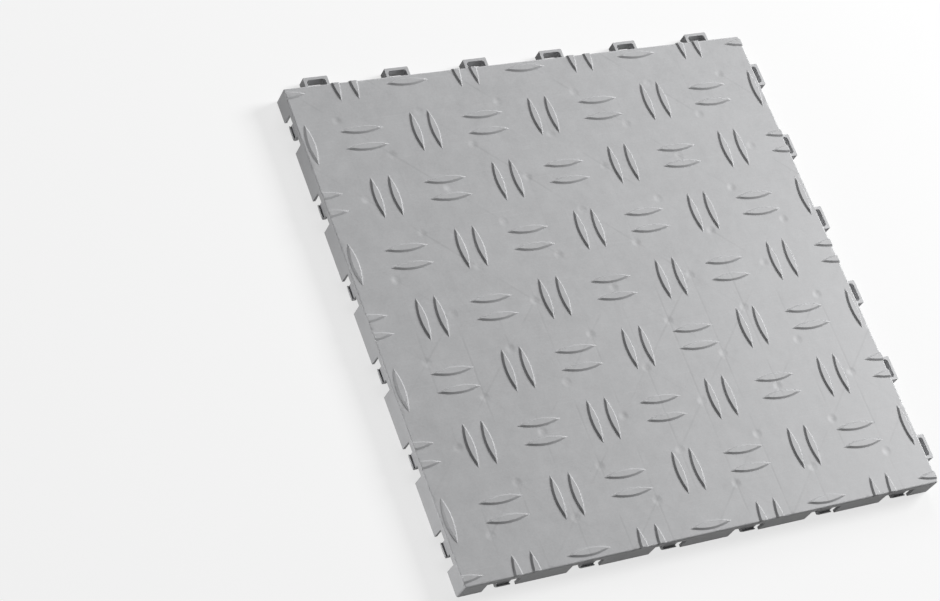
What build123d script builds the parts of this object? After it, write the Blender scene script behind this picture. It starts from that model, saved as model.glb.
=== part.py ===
from build123d import *
from math import asin, cos, sin
import os

# Interlocking floor tile, moulded in one piece of polypropylene. Lengths are in mm. Z points up from the
# floor, and the origin is on the floor under the middle of the tile. Loops stand out on the +X and +Y
# sides. Snap pegs on the -X and -Y sides drop into the loops of the tiles next to it.

# Deck and skirt
tile_pitch = 400.0  # from the middle of one laid tile to the middle of the next
joint_gap = 2.4  # open joint between two laid tiles, which lets them expand
deck_top = 16.8
deck_thickness = 2.4
skirt_thickness = 2.2
corner_radius = 1.5
edge_chamfer = 0.7

# Ribs and legs under the deck
ribs_per_pitch = 12
rib_thickness = 1.8
rib_lift = 1.0  # air gap between the ribs and the floor
leg_side = 6.2

# Raised tread on the deck
lugs_per_pitch = 8
lug_length = 35.2
lug_width = 6.8
lug_height = 1.2
lug_flat_width = 4.1
lug_side_facets = 4  # flat faces that make up each curved side
lug_sink = 1.0  # of the foot of a lug into the deck, past the chamfer round the deck
lug_spacing = 14.5  # between the two lugs of a pair

# Loops
links_per_side = 6
loop_width = 20.0
loop_reach = 12.2
loop_height = 8.2
loop_rim = 2.5
loop_web = 0.5  # skin of the loop left against the skirt
loop_hole_radius = 2.0  # in its two far corners
loop_edge_chamfer = 0.6
loop_foot_radius = 1.7

# Notches in the skirt, which the loops of the next tile pass through
notch_width = 26.0
notch_height = 12.0
notch_depth = 13.0

# Snap pegs
peg_width = 10.6
peg_clearance = 0.4  # between the back of a peg and the front bar of the loop around it
peg_lift = 0.9
tongue_thickness = 3.0
toe_setback = 1.4  # of the foot of the tongue, behind the face of the skirt
nose_reach = 1.6
nose_top = 9.1
nose_face_height = 1.4
groove_bottom = 7.7
gusset_chamfer = 3.0

tile_side = tile_pitch - joint_gap
side_face = tile_side / 2
deck_underside = deck_top - deck_thickness
peg_depth = loop_reach - loop_rim - joint_gap - peg_clearance


def grid_places(count, pitch, parity):
    """Every second point of a square grid of count by count points about the origin."""
    first = -(count - 1) * pitch / 2
    return [
        (first + i * pitch, first + j * pitch)
        for i in range(count)
        for j in range(count)
        if (i + j) % 2 == parity
    ]


def link_places(turns):
    """The links of the sides that face +Y once the tile is turned by each of the turns."""
    link_pitch = tile_pitch / links_per_side
    first = -(links_per_side - 1) * link_pitch / 2
    return [
        Location((0, 0, 0), (0, 0, turn)) * Location((first + k * link_pitch, side_face, 0))
        for turn in turns
        for k in range(links_per_side)
    ]


def pointed_oval(length, width, facets):
    """Adds the shape between two crossing arcs, pointed along X, to the open sketch as a polygon."""
    radius = (length**2 + width**2) / (4 * width)
    half_turn = asin(length / 2 / radius)
    turns = [half_turn * (2 * k / facets - 1) for k in range(facets + 1)]
    side = [(radius * sin(turn), radius - width / 2 - radius * cos(turn)) for turn in turns]
    Polygon(*side, *[(x, -y) for x, y in side[-2:0:-1]], align=None)


# One lug of the tread: a pointed oval with wide slopes round its flat top
with BuildPart() as lug:
    with BuildSketch(Plane.XY.offset(deck_top - lug_sink)):
        pointed_oval(lug_length, lug_width, lug_side_facets)
    extrude(amount=lug_sink + lug_height)
    lug_top = lug.faces().sort_by(Axis.Z)[-1]
    chamfer(lug_top.edges(), (lug_width - lug_flat_width) / 2, lug_height, reference=lug_top)

# The tread: pairs of lugs that lie across and along by turns, cut off flush with the skirt
with BuildPart() as tread:
    lug_pitch = tile_pitch / lugs_per_pitch
    with Locations(*grid_places(lugs_per_pitch + 1, lug_pitch, 0)):
        with GridLocations(0, lug_spacing, 1, 2):
            add(lug.part)
    with Locations(*grid_places(lugs_per_pitch + 1, lug_pitch, 1)):
        with GridLocations(lug_spacing, 0, 2, 1):
            add(lug.part, rotation=(0, 0, 90))
    with BuildSketch():
        Rectangle(tile_side, tile_side)
    extrude(amount=deck_top + lug_height, mode=Mode.INTERSECT)

# One loop, standing out along +Y from a skirt face at Y = 0
with BuildPart() as loop:
    with BuildSketch() as loop_outline:
        with Locations((0, -skirt_thickness / 2)):
            Rectangle(loop_width + 4 * loop_foot_radius, skirt_thickness)
        with Locations((0, loop_reach / 2)):
            Rectangle(loop_width, loop_reach)
        at_skirt = loop_outline.vertices().group_by(Axis.Y)[1]
        fillet(at_skirt.sort_by(lambda v: abs(v.X))[:2], loop_foot_radius)
        chamfer(loop_outline.vertices().group_by(Axis.Y)[-1], loop_edge_chamfer)
    extrude(amount=loop_height)
    with BuildSketch() as loop_hole:
        hole_length = loop_reach - loop_rim - loop_web
        with Locations((0, loop_web + hole_length / 2)):
            Rectangle(loop_width - 2 * loop_rim, hole_length)
        fillet(loop_hole.vertices().group_by(Axis.Y)[-1], loop_hole_radius)
    extrude(amount=loop_height, mode=Mode.SUBTRACT)

# One peg, standing in a notch of a skirt whose outer face is at Y = 0. Its tongue hangs from the deck and
# ends in a wedge-shaped nose with a grooved shoulder. A gusset behind it stiffens it.
with BuildPart() as peg:
    root = deck_underside + deck_thickness / 2
    with BuildSketch(Plane.YZ):
        with BuildLine():
            Polyline(
                (-tongue_thickness, root),
                (0, root),
                (0, groove_bottom),
                (nose_reach, nose_top),
                (nose_reach, nose_top - nose_face_height),
                (-toe_setback, peg_lift),
                (-tongue_thickness, peg_lift),
                close=True,
            )
        make_face()
    extrude(amount=peg_width / 2, both=True)
    with BuildSketch(Plane.XZ):
        with Locations((0, peg_lift + peg_width / 2)):
            Circle(peg_width / 2)
        with Locations((0, (peg_lift + peg_width / 2 + root) / 2)):
            Rectangle(peg_width, root - peg_lift - peg_width / 2)
    extrude(amount=peg_depth, both=True, mode=Mode.INTERSECT)
    with BuildSketch(Plane.YZ):
        with Locations((-(tongue_thickness / 2 + peg_depth) / 2, (root + rib_lift) / 2)):
            Rectangle(peg_depth - tongue_thickness / 2, root - rib_lift)
        with Locations((-peg_depth, rib_lift)):
            Rectangle(2 * gusset_chamfer, 2 * gusset_chamfer, rotation=45, mode=Mode.SUBTRACT)
    extrude(amount=rib_thickness / 2, both=True)

with BuildPart() as tile:
    # Deck and skirt as a block with a chamfered top edge
    with BuildSketch():
        RectangleRounded(tile_side, tile_side, corner_radius)
    extrude(amount=deck_top)
    chamfer(tile.faces().sort_by(Axis.Z)[-1].edges(), edge_chamfer)

    # Hollow underside, with a square grid of ribs left standing
    rib_pitch = tile_pitch / ribs_per_pitch
    inner_side = tile_side - 2 * skirt_thickness
    with BuildSketch():
        Rectangle(inner_side, inner_side)
        with GridLocations(rib_pitch, 0, ribs_per_pitch - 1, 1):
            Rectangle(rib_thickness, inner_side, mode=Mode.SUBTRACT)
        with GridLocations(0, rib_pitch, 1, ribs_per_pitch - 1):
            Rectangle(inner_side, rib_thickness, mode=Mode.SUBTRACT)
    extrude(amount=deck_underside, mode=Mode.SUBTRACT)

    # Square legs at every second crossing, with their corners along the ribs. They stand on the floor with
    # the skirt, and the ribs stay clear of it.
    leg_places = grid_places(ribs_per_pitch - 1, rib_pitch, 0)
    with BuildSketch():
        with Locations(*leg_places):
            Rectangle(leg_side, leg_side, rotation=45)
    extrude(amount=deck_underside)
    with BuildSketch():
        Rectangle(inner_side, inner_side)
        with Locations(*leg_places):
            Rectangle(leg_side, leg_side, rotation=45, mode=Mode.SUBTRACT)
    extrude(amount=rib_lift, mode=Mode.SUBTRACT)

    # Notches and pegs on the -X and -Y sides
    with Locations(*link_places((90, 180))):
        Box(notch_width, 2 * notch_depth, 2 * notch_height, mode=Mode.SUBTRACT)
    with Locations(*link_places((90, 180))):
        add(peg.part)

    # Loops on the +X and +Y sides
    with Locations(*link_places((0, -90))):
        add(loop.part)

    add(tread.part)

tile.part.label = "floor_tile"
os.makedirs("parts", exist_ok=True)
export_step(tile.part, "parts/floor_tile.step")
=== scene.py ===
import math

import bmesh
import bpy
from mathutils import Matrix, Vector


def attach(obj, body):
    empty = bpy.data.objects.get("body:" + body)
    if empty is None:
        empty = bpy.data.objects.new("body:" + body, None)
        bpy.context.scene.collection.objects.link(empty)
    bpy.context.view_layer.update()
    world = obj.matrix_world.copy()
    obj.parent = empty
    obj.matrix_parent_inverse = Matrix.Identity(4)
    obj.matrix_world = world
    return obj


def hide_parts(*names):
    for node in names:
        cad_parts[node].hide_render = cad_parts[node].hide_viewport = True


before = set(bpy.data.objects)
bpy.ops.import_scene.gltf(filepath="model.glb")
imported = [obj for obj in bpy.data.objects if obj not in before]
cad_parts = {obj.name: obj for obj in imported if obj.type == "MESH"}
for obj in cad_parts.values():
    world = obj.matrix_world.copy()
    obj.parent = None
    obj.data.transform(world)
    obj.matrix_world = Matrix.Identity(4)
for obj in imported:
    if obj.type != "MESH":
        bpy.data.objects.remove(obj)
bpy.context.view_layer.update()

# Interlocking floor tile with a raised tread. Lengths are in metres, in the frame of the part: Z points up
# from the floor, and the origin is on the floor under the middle of the tile. Pegs are on the -X and -Y
# sides and loops on the +X and +Y sides.
MM = 0.001
TILE_PITCH = 400 * MM  # from the middle of one laid tile to the middle of the next
JOINT_GAP = 2.4 * MM
TILE_SIDE = TILE_PITCH - JOINT_GAP
DECK_TOP = 16.8 * MM
CORNER_RADIUS = 1.5 * MM
DECK_ROUNDING = 1.2 * MM
RIBS_PER_PITCH = 12
RIB_PITCH = TILE_PITCH / RIBS_PER_PITCH

# Loops
LOOPS_PER_SIDE = 6
LOOP_PITCH = TILE_PITCH / LOOPS_PER_SIDE
LOOP_WIDTH = 20 * MM
LOOP_FOOT_RADIUS = 1.7 * MM  # of the fillets between a loop and the skirt

# Softening of the convex edges below the deck
SOFT_RADIUS = 0.25 * MM
SOFT_BELOW = 13 * MM  # both ends of such an edge are lower than this
SOFT_STEPS = 2
SOFT_FROM_ANGLE = math.radians(30)

# Lugs of the tread
LUGS_PER_PITCH = 8
LUG_LENGTH = 35.2 * MM
LUG_WIDTH = 6.8 * MM
LUG_HEIGHT = 1.2 * MM
LUG_FLAT_WIDTH = 4.1 * MM
LUG_SPACING = 14.5 * MM  # between the two lugs of a pair
LUG_SINK = 1.6 * MM  # of a lug into the deck, past the rounding of the deck's edge
LUG_ROUNDING = 0.22 * MM  # of its top edge and at its foot
LUG_END_ROUNDING = 0.8 * MM  # where the side of the tile cuts it off

# Steps in the curves
LUG_SIDE_STEPS = 18
LUG_ROUND_STEPS = 3
CORNER_STEPS = 6
DECK_ROUND_STEPS = 5

# Limits of the mesh work
SAME_POINT = 0.002 * MM
FLAT_ANGLE = math.radians(0.5)
CREASE_ANGLE = math.radians(50)
ON_FLOOR = 0.01 * MM  # most that an edge at the foot of the skirt lies over the floor
ON_SKIRT = 0.1 * MM  # most that an edge on the face of the skirt stands off it
OFF_LOOP = 0.05 * MM  # least that an edge of a fillet lies beside its loop
FOOT_DIP = 0.004 * MM  # of the outermost ring of a lug under the deck, to keep it out of the deck's plane
HEADROOM = 0.02 * MM  # of the block that cuts the lugs, over their tops
DECK_CUT_SIDE = 1.1 * TILE_PITCH  # of the block that cuts the deck, past the loops

# Plastic
PLASTIC = (0.455, 0.458, 0.466)
PLASTIC_RANGE = 0.2  # share by which the tone makes it darker or paler
PLASTIC_SPECULAR = 0.3
PLASTIC_ROUGHNESS = 0.45
BLOTCHES_ROUGHNESS = 0.08
GRAIN_ROUGHNESS = 0.1

# Noise in the plastic, per metre
CLOUDS_SCALE = 13.0
PATCHES_SCALE = 32.0
BLOTCHES_SCALE = 75.0
WAVES_SCALE = 110.0
GRAIN_SCALE = 800.0
PORES_SCALE = 2400.0
SPECKS_SCALE = 120.0
SCRATCH_SCALES = (22, 1500, 22)  # so fine along Y that the noise is drawn out into lines along X
SCRATCH_TURNS = (0.5, 2.2)  # of the noise for each set of scratches, so that the sets differ
SCRATCH_SHIFT = 3.0  # of the noise from one set to the next

# Where marks are at full strength and where they end
BACK_BAND = (20 * MM, -20 * MM)  # places along Y
BROKEN_BAND = (0.3, -0.25)  # levels of the patches that break up the lines
RIB_BAND = (0.2 * MM, 1.3 * MM)  # distances from the middle of a line
SEAM_BAND = (0.1 * MM, 1.3 * MM)
SEAM_LENGTH_BAND = (18 * MM, 32 * MM)  # distances from a leg
LEG_BAND = (0.5 * MM, 4.5 * MM)
SCRATCH_BAND = (0.80, 0.74)  # levels of the drawn-out noise
SPECK_BAND = (0.03, 0.08)  # distances from the middle, as shares of a cell
SPECKLESS_CELLS = 0.88  # share of the cells
DECK_MARKS_DEPTH = 2 * MM  # below the top of the deck, where the marks of what is under it end

# Strengths of the lines where they are weaker
RIBS_BEHIND = 0.3  # those along Y, in the back half
RIBS_ALONG_X = 0.25
FALLING_SEAMS_IN_FRONT = 0.4

# Painted highlights along the top edges, as depths below the top of the lugs and of the deck
LUG_HIGHLIGHT_DEPTH = 0.25 * MM
DECK_HIGHLIGHT_DEPTH = 0.9 * MM
HIGHLIGHT_TOP_BAND = (0.06 * MM, 0.01 * MM)
HIGHLIGHT_FOOT_FADE = 0.1 * MM

# What each adds to the tone of the plastic, which goes from -1, the darkest, to 1, the palest
CLOUDS_TONE = 0.24
BLOTCHES_TONE = 0.52
GRAIN_TONE = 0.6
RIBS_TONE = -0.4
SEAMS_TONE = -0.46
LEGS_TONE = 0.15
LEGS_BLOTCHES_TONE = 2.0
SCRATCHES_TONE = 0.18
SPECKS_TONE = -0.5
# painted highlight: paler tone on the top edges of the lugs and the deck
HIGHLIGHT_TONE = 0.6
HIGHLIGHT_BLOTCHES_TONE = 0.8

# How far each moves the surface
LEGS_DEPTH = 0.2 * MM
RIBS_DEPTH = 0.02 * MM
SCRATCHES_DEPTH = 0.01 * MM
WAVES_HEIGHT = 0.04 * MM
PORES_HEIGHT = 0.006 * MM

# Studio. Powers are in watts, and the lamps face the tile.
FLOOR_REACH = 6.0
FLOOR_ALBEDO = 0.2  # for light that the floor throws on the tile
FLOOR_SEEN_ALBEDO = 0.9
FLOOR_WHITE = 0.72  # share of plain white in what is seen of the floor
AMBIENT = 0.08
KEY_PLACE = Vector((0.8, 0.2, 0.55)).normalized() * 3.0
KEY_SIDE = 1.1
KEY_POWER = 103
BACK_PLACE = Vector((0.2, 0.8, 0.55)).normalized() * 4.0
BACK_SIDE = 1.6
BACK_POWER = 40
STRIP_PLACE = Vector((-0.55, -0.14, 4 * MM))
STRIP_SIZE = (0.5, 6 * MM)
STRIP_POWER = 1.15

# The camera of the photograph, placed against the tile. From looking straight down with +Y at the top of
# the picture, it is rolled, then tilted up and then turned to its heading. Angles are in degrees.
CAMERA_PLACE = (-0.918474, -0.642156, 1.451355)
CAMERA_ROLL = 35.67344
CAMERA_TILT = 35.74302
CAMERA_HEADING = -50.9514
CAMERA_LENS = 95.05  # in millimetres, as is the sensor
CAMERA_SENSOR = 36


def new_object(name, bm):
    """A new object in the scene with the mesh of bm, which is freed."""
    mesh = bpy.data.meshes.new(name)
    bm.to_mesh(mesh)
    bm.free()
    obj = bpy.data.objects.new(name, mesh)
    bpy.context.scene.collection.objects.link(obj)
    return obj


def add_loft(bm, rings):
    """A closed solid through rings of as many points each, which run anticlockwise about the way it goes."""
    rows = [[bm.verts.new(point) for point in ring] for ring in rings]
    count = len(rows[0])
    for low, high in zip(rows, rows[1:]):
        for k in range(count):
            bm.faces.new((low[k], low[(k + 1) % count], high[(k + 1) % count], high[k]))
    bm.faces.new(rows[0][::-1])
    bm.faces.new(rows[-1])


def rounded_square(side, radius, height):
    """Points round a square with rounded corners, anticlockwise seen from above."""
    reach = side / 2 - radius
    points = []
    for sign_x, sign_y, start in ((1, 1, 0), (-1, 1, 1), (-1, -1, 2), (1, -1, 3)):
        for k in range(CORNER_STEPS + 1):
            turn = math.pi / 2 * (start + k / CORNER_STEPS)
            x = sign_x * reach + radius * math.cos(turn)
            y = sign_y * reach + radius * math.sin(turn)
            points.append(Vector((x, y, height)))
    return points


def top_edge_rings(top, rounding):
    """Rings up the rounded top edge of a block with the outline of the tile."""
    rings = []
    for k in range(DECK_ROUND_STEPS + 1):
        turn = math.pi / 2 * k / DECK_ROUND_STEPS
        inset = rounding * (1 - math.cos(turn))
        height = top - rounding * (1 - math.sin(turn))
        rings.append(rounded_square(TILE_SIDE - 2 * inset, CORNER_RADIUS - inset, height))
    return rings


def boolean(obj, other, operation):
    """Applies the operation to obj and deletes the other object."""
    modifier = obj.modifiers.new("boolean", "BOOLEAN")
    modifier.solver = "MANIFOLD"
    modifier.operation = operation
    modifier.object = other
    bpy.context.view_layer.update()
    evaluated = obj.evaluated_get(bpy.context.evaluated_depsgraph_get())
    mesh = bpy.data.meshes.new_from_object(evaluated)
    obj.modifiers.clear()
    obj.data = mesh
    bpy.data.objects.remove(other)


def stays_sharp(edge):
    """Whether the edge is at the foot of the skirt or on the fillet between a loop and the skirt."""
    middle = (edge.verts[0].co + edge.verts[1].co) / 2
    beyond = max(abs(middle.x), abs(middle.y)) - TILE_SIDE / 2
    if middle.z < ON_FLOOR and -CORNER_RADIUS < beyond < ON_SKIRT:
        return True
    along, out = sorted((middle.x, middle.y))
    beside = abs((along / LOOP_PITCH) % 1 - 0.5) * LOOP_PITCH - LOOP_WIDTH / 2
    return out > TILE_SIDE / 2 - ON_SKIRT and OFF_LOOP < beside < 2 * LOOP_FOOT_RADIUS


def gets_softened(edge):
    """Whether the edge is one of the convex ones below the deck that are softened."""
    if not (edge.is_manifold and edge.is_convex) or edge.calc_face_angle() <= SOFT_FROM_ANGLE:
        return False
    return max(v.co.z for v in edge.verts) < SOFT_BELOW and not stays_sharp(edge)


def make_body(cad):
    """The moulding without its lugs, with softened edges."""
    bm = bmesh.new()
    bm.from_mesh(cad.data)
    bmesh.ops.remove_doubles(bm, verts=bm.verts, dist=SAME_POINT)
    bmesh.ops.dissolve_limit(
        bm, angle_limit=FLAT_ANGLE, verts=bm.verts, edges=bm.edges, delimit={"NORMAL"}
    )
    # Cuts across the loops where their fillets start, for the softening to end at
    for out in (Vector((1, 0, 0)), Vector((0, 1, 0))):
        bmesh.ops.bisect_plane(
            bm, geom=bm.verts[:] + bm.edges[:] + bm.faces[:], dist=SAME_POINT,
            plane_co=out * (TILE_SIDE / 2 + LOOP_FOOT_RADIUS), plane_no=out,
        )
    softened = [edge for edge in bm.edges if gets_softened(edge)]
    bmesh.ops.bevel(
        bm, geom=softened, offset=SOFT_RADIUS, offset_type="OFFSET", segments=SOFT_STEPS, profile=0.5,
        affect="EDGES", clamp_overlap=False, loop_slide=True,
    )
    body = new_object("tile_body", bm)

    # All that stands over the deck, such as the lugs of the CAD, and outside its rounded edge is cut away
    rings = top_edge_rings(DECK_TOP, DECK_ROUNDING)[::-1]
    for height in (DECK_TOP - DECK_ROUNDING, DECK_TOP + 2 * LUG_HEIGHT):
        rings.append(rounded_square(DECK_CUT_SIDE, CORNER_RADIUS, height))
    cut = bmesh.new()
    add_loft(cut, rings)
    boolean(body, new_object("deck_cut", cut), "DIFFERENCE")
    return body


def lug_profile():
    """(inward offset from the outline, height over the deck) of each ring of a lug, from foot to top."""
    run = (LUG_WIDTH - LUG_FLAT_WIDTH) / 2
    slope = math.atan2(LUG_HEIGHT, run)
    tangent = LUG_ROUNDING * math.tan(slope / 2)
    turns = [slope * k / LUG_ROUND_STEPS for k in range(LUG_ROUND_STEPS + 1)]
    arc = [(LUG_ROUNDING * math.sin(turn), LUG_ROUNDING * (1 - math.cos(turn))) for turn in turns]
    foot = [(x - tangent, z) for x, z in arc]
    top = [(run + tangent - x, LUG_HEIGHT - z) for x, z in arc[::-1]]
    return foot + top


def lug_ring(offset, height):
    """Points of the pointed oval at this offset inward from the outline of a lug, along X."""
    arc_radius = (LUG_LENGTH**2 + LUG_WIDTH**2) / (4 * LUG_WIDTH)
    centre = arc_radius - LUG_WIDTH / 2
    radius = arc_radius - offset
    half_turn = math.acos(centre / radius)
    side = []
    for k in range(LUG_SIDE_STEPS + 1):
        turn = half_turn * (2 * k / LUG_SIDE_STEPS - 1)
        side.append((radius * math.sin(turn), radius * math.cos(turn) - centre))
    points = [(x, -y) for x, y in side] + [(x, y) for x, y in side[-2:0:-1]]
    return [Vector((x, y, DECK_TOP + height)) for x, y in points]


def make_lugs():
    """Pairs of lugs that lie across and along by turns, cut off flush with the sides of the tile."""
    profile = lug_profile()
    rings = [lug_ring(profile[0][0], height) for height in (-LUG_SINK, -FOOT_DIP)]
    rings += [lug_ring(offset, height) for offset, height in profile[1:]]
    bm = bmesh.new()
    pitch = TILE_PITCH / LUGS_PER_PITCH
    for i in range(LUGS_PER_PITCH + 1):
        for j in range(LUGS_PER_PITCH + 1):
            pair = Matrix.Translation((i * pitch - TILE_PITCH / 2, j * pitch - TILE_PITCH / 2, 0))
            turn = Matrix.Rotation((i + j) % 2 * math.pi / 2, 4, "Z")
            for side in (-1, 1):
                place = pair @ turn @ Matrix.Translation((0, side * LUG_SPACING / 2, 0))
                add_loft(bm, [[place @ point for point in ring] for ring in rings])
    lugs = new_object("lugs", bm)
    block = bmesh.new()
    rings = top_edge_rings(DECK_TOP + LUG_HEIGHT + HEADROOM, LUG_END_ROUNDING)
    add_loft(block, [rounded_square(TILE_SIDE, CORNER_RADIUS, 0)] + rings)
    boolean(lugs, new_object("tread_outline", block), "INTERSECT")
    return lugs


def shade(obj):
    """Smooth shading with creases at the sharp edges, led by the large faces."""
    obj.data.shade_smooth()
    obj.data.set_sharp_from_angle(angle=CREASE_ANGLE)
    normals = obj.modifiers.new("normals", "WEIGHTED_NORMAL")
    normals.keep_sharp = True


class Nodes:
    """Makes the nodes of one tree. A call gives back the node's first output unless it asks for another."""

    def __init__(self, owner):
        owner.use_nodes = True
        self.tree = owner.node_tree
        self.tree.nodes.clear()

    def add(self, kind, inputs=None, output=0, **settings):
        node = self.tree.nodes.new("ShaderNode" + kind)
        for name, value in settings.items():
            setattr(node, name, value)
        for name, value in (inputs or {}).items():
            if isinstance(value, bpy.types.NodeSocket):
                self.tree.links.new(value, node.inputs[name])
            else:
                node.inputs[name].default_value = value
        return node.outputs[output] if len(node.outputs) else node

    def math(self, operation, *values):
        return self.add("Math", dict(enumerate(values)), operation=operation)

    def weighted(self, *terms):
        """The sum of the values, each times its weight."""
        products = [self.math("MULTIPLY", value, weight) for value, weight in terms]
        result = products[0]
        for product in products[1:]:
            result = self.math("ADD", result, product)
        return result

    def noise(self, vector, scale, detail, roughness=0.5):
        """Noise about 0, mostly within 0.5 either way."""
        inputs = {"Vector": vector, "Scale": scale, "Detail": detail, "Roughness": roughness}
        return self.math("MULTIPLY_ADD", self.add("TexNoise", inputs), 2.0, -1.0)

    def mix(self, level, first, second):
        """A colour between the first and the second. Sockets 6 and 7 in and 2 out are those for colours."""
        inputs = {"Factor": level, 6: first, 7: second}
        return self.add("Mix", inputs, output=2, data_type="RGBA")

    def band(self, value, full, none):
        """Smoothly from 1 where the value is at full or past it to 0 where it is at none or past it."""
        inputs = {"Value": value, "From Min": full, "From Max": none, "To Min": 1.0, "To Max": 0.0}
        return self.add("MapRange", inputs, interpolation_type="SMOOTHSTEP")


def rib_marks(nodes, x, y, front):
    """Lines over the ribs. Those along Y are stronger in the front half, and those along X are weak."""
    along_y, along_x = (nodes.band(nodes.math("PINGPONG", v, RIB_PITCH / 2), *RIB_BAND) for v in (x, y))
    strength = nodes.math("MULTIPLY_ADD", front, 1 - RIBS_BEHIND, RIBS_BEHIND)
    along_y = nodes.math("MULTIPLY", along_y, strength)
    return nodes.math("MAXIMUM", along_y, nodes.math("MULTIPLY", along_x, RIBS_ALONG_X))


def leg_marks(nodes, x, y, behind, front):
    """Spots over the legs, and the seams between them, where the plastic flowed together.

    The legs stand at every second crossing of the ribs, which is a grid at 45 degrees. The seams lie along
    that grid, both ways in the front half and one way in the back half.
    """
    spacing = RIB_PITCH * math.sqrt(2)
    sides = []
    for operation in ("ADD", "SUBTRACT"):
        diagonal = nodes.math("MULTIPLY", nodes.math(operation, x, y), math.sqrt(0.5))
        sides.append(nodes.math("PINGPONG", diagonal, spacing / 2))
    squares = [nodes.math("MULTIPLY", side, side) for side in sides]
    from_leg = nodes.math("SQRT", nodes.math("ADD", *squares))
    spots = nodes.band(from_leg, *LEG_BAND)
    falling, rising = (nodes.band(side, *SEAM_BAND) for side in sides)
    strength = nodes.math("MULTIPLY_ADD", behind, 1 - FALLING_SEAMS_IN_FRONT, FALLING_SEAMS_IN_FRONT)
    falling = nodes.math("MULTIPLY", falling, strength)
    rising = nodes.math("MULTIPLY", rising, front)
    near_leg = nodes.band(from_leg, *SEAM_LENGTH_BAND)
    return spots, nodes.math("MULTIPLY", nodes.math("MAXIMUM", falling, rising), near_leg)


def scratch_marks(nodes, place):
    """Fine scratches along X, in two sets."""
    scratches = []
    for k, turn in enumerate(SCRATCH_TURNS):
        shift = (k * SCRATCH_SHIFT, 0, 0)
        drawn_out = nodes.add("Mapping", {
            "Vector": place, "Location": shift, "Rotation": (0, 0, turn), "Scale": SCRATCH_SCALES,
        })
        fine = nodes.add("TexNoise", {"Vector": drawn_out, "Scale": 1.0, "Detail": 0.0})
        scratches.append(nodes.band(fine, *SCRATCH_BAND))
    return nodes.math("MAXIMUM", *scratches)


def speck_marks(nodes, place):
    """Small specks in some of the cells, chosen by the cell's own random colour."""
    cell = nodes.add("TexVoronoi", {"Vector": place, "Scale": SPECKS_SCALE}).node.outputs
    random = nodes.add("SeparateColor", {"Color": cell["Color"]})
    chosen = nodes.math("GREATER_THAN", random, SPECKLESS_CELLS)
    return nodes.math("MULTIPLY", nodes.band(cell["Distance"], *SPECK_BAND), chosen)


def painted_edge_highlights(nodes, z):
    """Painted highlights: paler bands just below the tops of the lugs and just below the top of the deck,
    along their rounded edges.
    """
    bands = []
    for top, depth in ((DECK_TOP + LUG_HEIGHT, LUG_HIGHLIGHT_DEPTH), (DECK_TOP, DECK_HIGHLIGHT_DEPTH)):
        below_top = nodes.band(z, *(top - distance for distance in HIGHLIGHT_TOP_BAND))
        too_low = nodes.band(z, top - depth - HIGHLIGHT_FOOT_FADE, top - depth)
        bands.append(nodes.math("MULTIPLY", below_top, nodes.math("SUBTRACT", 1.0, too_low)))
    return nodes.math("MAXIMUM", *bands)


def make_plastic():
    """Moulded polypropylene. The ribs, legs and flow of the moulding show through the deck faintly."""
    mat = bpy.data.materials.new("moulded_plastic")
    nodes = Nodes(mat)
    place = nodes.add("TexCoord", output="Object")
    x, y, z = nodes.add("SeparateXYZ", {"Vector": place}).node.outputs

    clouds = nodes.noise(place, CLOUDS_SCALE, detail=3.0)
    patches = nodes.noise(place, PATCHES_SCALE, detail=1.0)
    blotches = nodes.noise(place, BLOTCHES_SCALE, detail=3.0, roughness=0.6)
    grain = nodes.noise(place, GRAIN_SCALE, detail=3.0, roughness=0.7)
    scratches = scratch_marks(nodes, place)

    # What is moulded under the deck. Its lines are broken up, and only the deck shows it.
    behind = nodes.band(y, *BACK_BAND)
    front = nodes.math("SUBTRACT", 1.0, behind)
    broken = nodes.band(patches, *BROKEN_BAND)
    deck = nodes.math("GREATER_THAN", z, DECK_TOP - DECK_MARKS_DEPTH)
    ribs = nodes.math("MULTIPLY", rib_marks(nodes, x, y, front), broken)
    legs, seams = leg_marks(nodes, x, y, behind, front)
    seams = nodes.math("MULTIPLY", seams, broken)
    leg_tone = nodes.math("MULTIPLY_ADD", blotches, LEGS_BLOTCHES_TONE, LEGS_TONE)
    # Painted highlight: a paler tone in bands along the top edges of the lugs and the deck
    highlight_tone = nodes.math("MULTIPLY_ADD", blotches, HIGHLIGHT_BLOTCHES_TONE, HIGHLIGHT_TONE)

    tone = nodes.weighted(
        (clouds, CLOUDS_TONE),
        (blotches, BLOTCHES_TONE),
        (grain, GRAIN_TONE),
        (nodes.weighted((ribs, RIBS_TONE), (seams, SEAMS_TONE), (legs, leg_tone)), deck),
        (scratches, SCRATCHES_TONE),
        (painted_edge_highlights(nodes, z), highlight_tone),
        (speck_marks(nodes, place), SPECKS_TONE),
    )
    level = nodes.math("MULTIPLY_ADD", tone, 0.5, 0.5)  # from 0 to 1
    shares = (1 - PLASTIC_RANGE, 1 + PLASTIC_RANGE)
    darkest, palest = ([channel * share for channel in PLASTIC] + [1] for share in shares)
    height = nodes.weighted(
        (nodes.weighted((legs, -LEGS_DEPTH), (ribs, -RIBS_DEPTH)), deck),
        (nodes.noise(place, PORES_SCALE, detail=1.0), PORES_HEIGHT),
        (nodes.noise(place, WAVES_SCALE, detail=1.0), WAVES_HEIGHT),
        (scratches, -SCRATCHES_DEPTH),
    )
    uneven = nodes.weighted((blotches, BLOTCHES_ROUGHNESS), (grain, GRAIN_ROUGHNESS))
    surface = nodes.add("BsdfPrincipled", {
        "Base Color": nodes.mix(level, darkest, palest),
        "Roughness": nodes.math("ADD", uneven, PLASTIC_ROUGHNESS),
        "Normal": nodes.add("Bump", {"Height": height, "Distance": 1.0, "Strength": 1.0}),
        "Specular IOR Level": PLASTIC_SPECULAR,
    })
    nodes.add("OutputMaterial", {"Surface": surface})
    return mat


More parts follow.
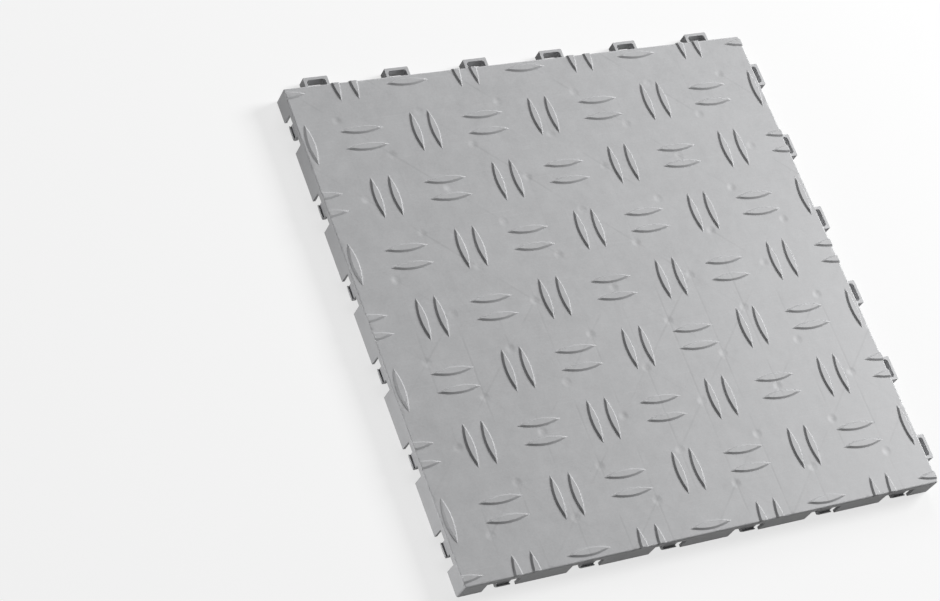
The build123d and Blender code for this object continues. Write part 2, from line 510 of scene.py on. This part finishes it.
def seen_directly(nodes):
    """1 for rays that show the backdrop itself, straight or in a reflection, and 0 for those that light."""
    ray = nodes.add("LightPath").node.outputs
    shown = nodes.math("MAXIMUM", ray["Is Camera Ray"], ray["Is Glossy Ray"])
    return nodes.math("MAXIMUM", shown, ray["Is Transmission Ray"])


def make_floor():
    """A plain floor that looks nearly white and throws little light on the tile."""
    bm = bmesh.new()
    bmesh.ops.create_grid(bm, x_segments=1, y_segments=1, size=FLOOR_REACH)
    floor = new_object("floor", bm)
    mat = bpy.data.materials.new("studio_floor")
    nodes = Nodes(mat)
    seen = seen_directly(nodes)
    grey, pale = ((albedo, albedo, albedo, 1) for albedo in (FLOOR_ALBEDO, FLOOR_SEEN_ALBEDO))
    diffuse = nodes.add("BsdfDiffuse", {"Color": nodes.mix(seen, grey, pale)})
    white = nodes.add("Emission", {"Color": (1, 1, 1, 1), "Strength": 1.0})
    share = nodes.math("MULTIPLY", seen, FLOOR_WHITE)
    nodes.add("OutputMaterial", {"Surface": nodes.add("MixShader", {0: share, 1: diffuse, 2: white})})
    floor.data.materials.append(mat)


def make_world():
    """A white backdrop that lights the tile only weakly."""
    world = bpy.data.worlds.new("studio")
    bpy.context.scene.world = world
    nodes = Nodes(world)
    ambient = nodes.add("Background", {"Color": (1, 1, 1, 1), "Strength": AMBIENT})
    white = nodes.add("Background", {"Color": (1, 1, 1, 1), "Strength": 1.0})
    surface = nodes.add("MixShader", {0: seen_directly(nodes), 1: ambient, 2: white})
    nodes.add("OutputWorld", {"Surface": surface})


def add_lamp(name, place, aim, size, power):
    """A soft rectangular lamp at the place, turned to the aim."""
    lamp = bpy.data.lights.new(name, "AREA")
    lamp.shape = "RECTANGLE"
    lamp.size, lamp.size_y = size
    lamp.energy = power
    obj = bpy.data.objects.new(name, lamp)
    bpy.context.scene.collection.objects.link(obj)
    obj.location = place
    obj.rotation_mode = "QUATERNION"
    obj.rotation_quaternion = (place - aim).to_track_quat("Z", "Y")
    obj.visible_camera = False
    return obj


def make_lights(tile):
    """Two soft lamps for everything, and a low strip for the left skirt that lights only the tile."""
    middle = Vector((0, 0, 0))
    add_lamp("key", KEY_PLACE, middle, (KEY_SIDE, KEY_SIDE), KEY_POWER)
    add_lamp("back", BACK_PLACE, middle, (BACK_SIDE, BACK_SIDE), BACK_POWER)
    strip_aim = Vector((0, STRIP_PLACE.y, STRIP_PLACE.z))
    strip = add_lamp("floor_strip", STRIP_PLACE, strip_aim, STRIP_SIZE, STRIP_POWER)
    receivers = bpy.data.collections.new("lit_by_strip")
    receivers.objects.link(tile)
    strip.light_linking.receiver_collection = receivers


def make_camera():
    """The camera of the photograph."""
    data = bpy.data.cameras.new("camera")
    data.lens = CAMERA_LENS
    data.sensor_width = CAMERA_SENSOR
    data.sensor_fit = "HORIZONTAL"
    camera = bpy.data.objects.new("camera", data)
    bpy.context.scene.collection.objects.link(camera)
    place = Matrix.Translation(CAMERA_PLACE)
    for degrees, axis in ((CAMERA_HEADING, "Z"), (CAMERA_TILT, "X"), (CAMERA_ROLL, "Z")):
        place = place @ Matrix.Rotation(math.radians(degrees), 4, axis)
    camera.matrix_world = place
    bpy.context.scene.camera = camera


def main():
    tile = make_body(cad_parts["floor_tile"])
    boolean(tile, make_lugs(), "UNION")
    tile.name = "moulded_tile"
    shade(tile)
    tile.data.materials.clear()
    tile.data.materials.append(make_plastic())
    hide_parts("floor_tile")
    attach(tile, "root")

    make_floor()
    make_world()
    make_lights(tile)
    make_camera()
    bpy.context.scene.view_settings.view_transform = "Standard"


main()
